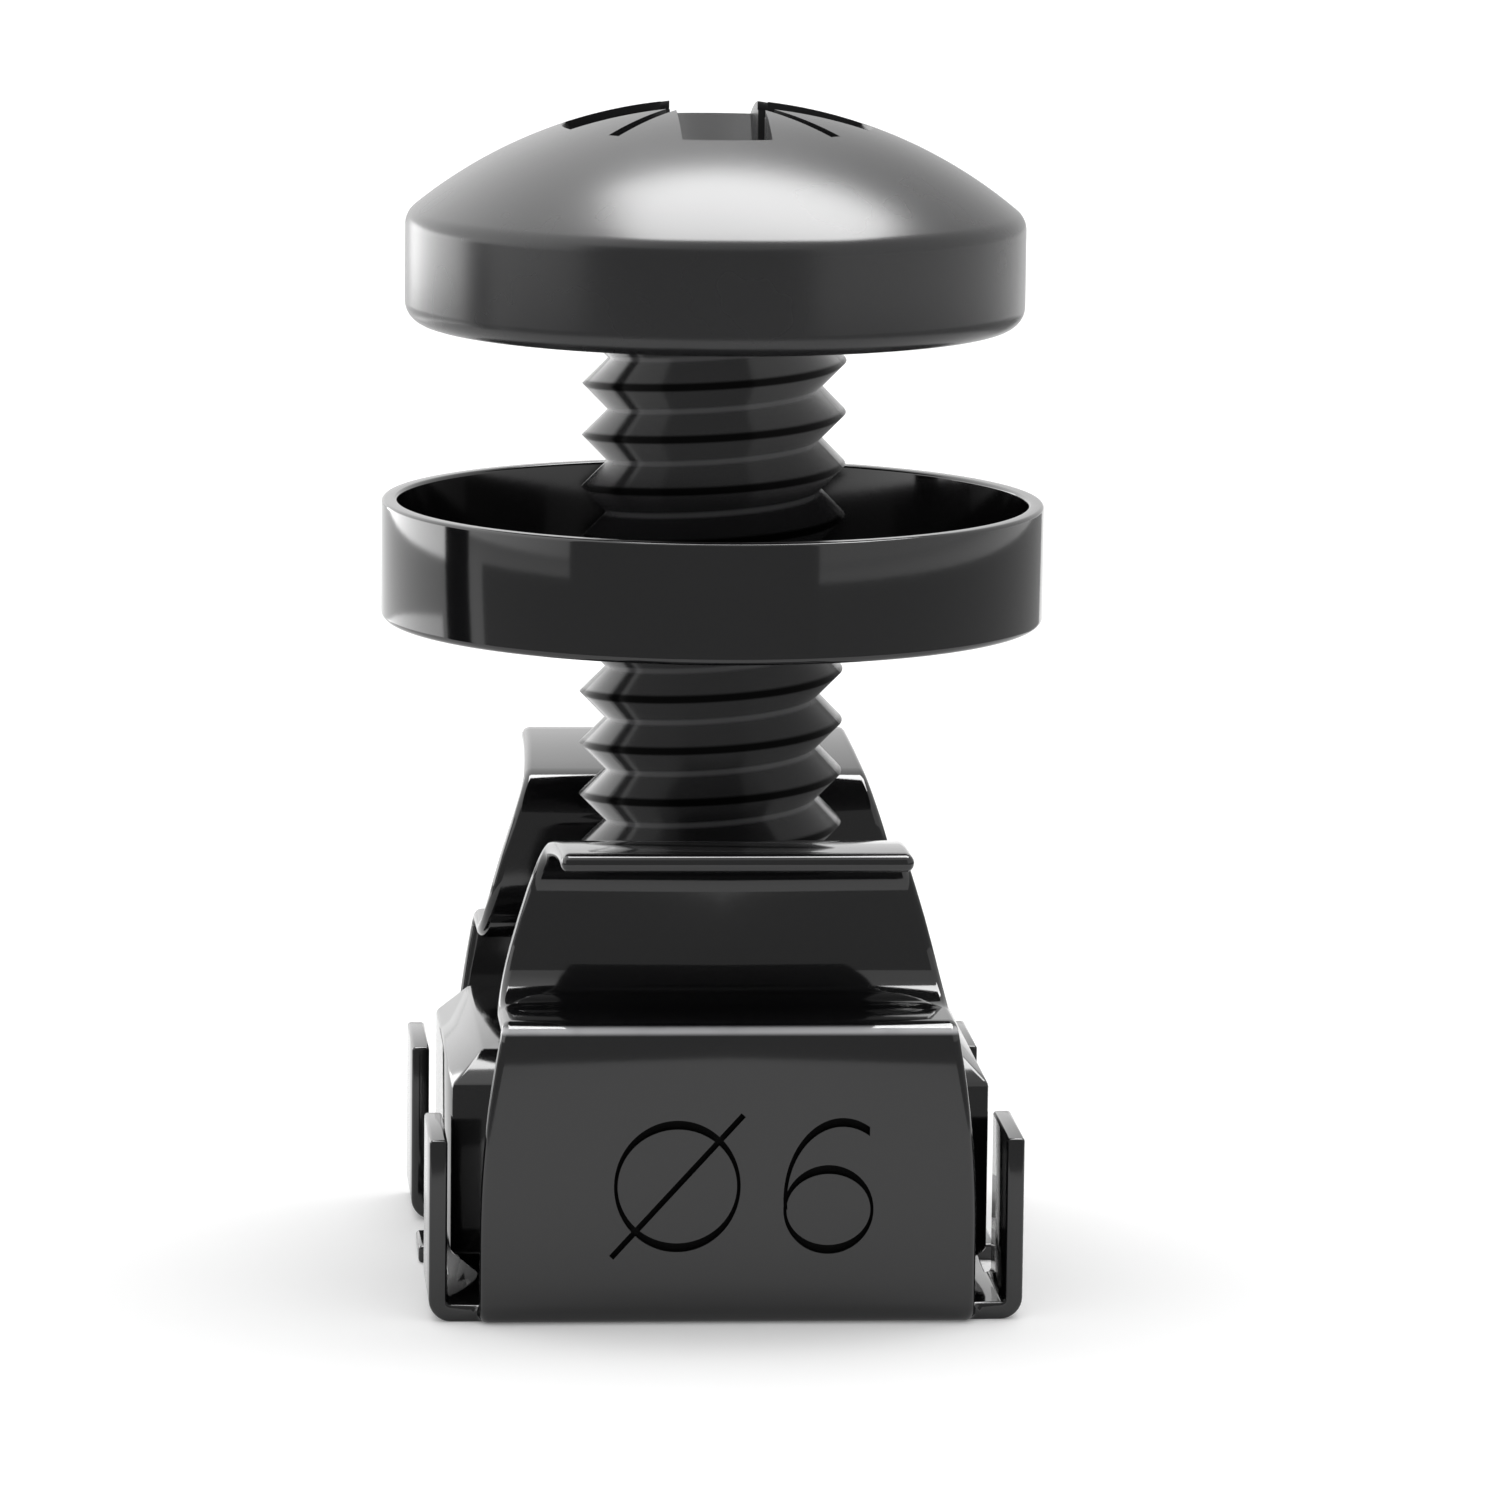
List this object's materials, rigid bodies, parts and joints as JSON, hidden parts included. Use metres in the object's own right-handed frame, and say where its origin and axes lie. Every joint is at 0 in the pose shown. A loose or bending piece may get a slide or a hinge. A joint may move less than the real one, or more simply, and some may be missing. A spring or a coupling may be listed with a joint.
{
  "type": "rack cage nut with screw and cup washer",
  "caption": "Captive nut in a folded spring steel cage for a rack rail's square hole, with its domed cross-drive screw and cup washer part-way in.",
  "frame": {"origin": "centre of the cage's footprint, on the underside of its base plate, which is the side away from the rail", "axes": "+Z along the screw towards its head, Y across the two spring legs, X across the four side tabs"},
  "size_m": [0.015, 0.0182, 0.0264],
  "materials": {
    "cage": "glossy black plated spring steel sheet",
    "nut": "black plated steel, satin",
    "washer": "glossy black plated pressed steel",
    "screw": "black plated steel, semi-gloss"
  },
  "bodies": {
    "cage_nut": {"cage": "cage", "nut": "nut"},
    "washer": {"cup_washer": "washer"},
    "screw": {"screw": "screw"}
  },
  "joints": [
    {"name": "screw_advance", "type": "slide", "parent": "cage_nut", "child": "washer", "axis": [0, 0, -1], "range_m": [-0.00401, 0.00376]},
    {"name": "screw_turn", "type": "hinge", "parent": "washer", "child": "screw", "pos_m": [0, 0, 0.012], "axis": [0, 0, -1], "range_deg": [-1440, 1350]}
  ],
  "couplings": [
    {"joint": "screw_advance", "follows": "screw_turn", "m_per_rad": 0.00015915}
  ]
}
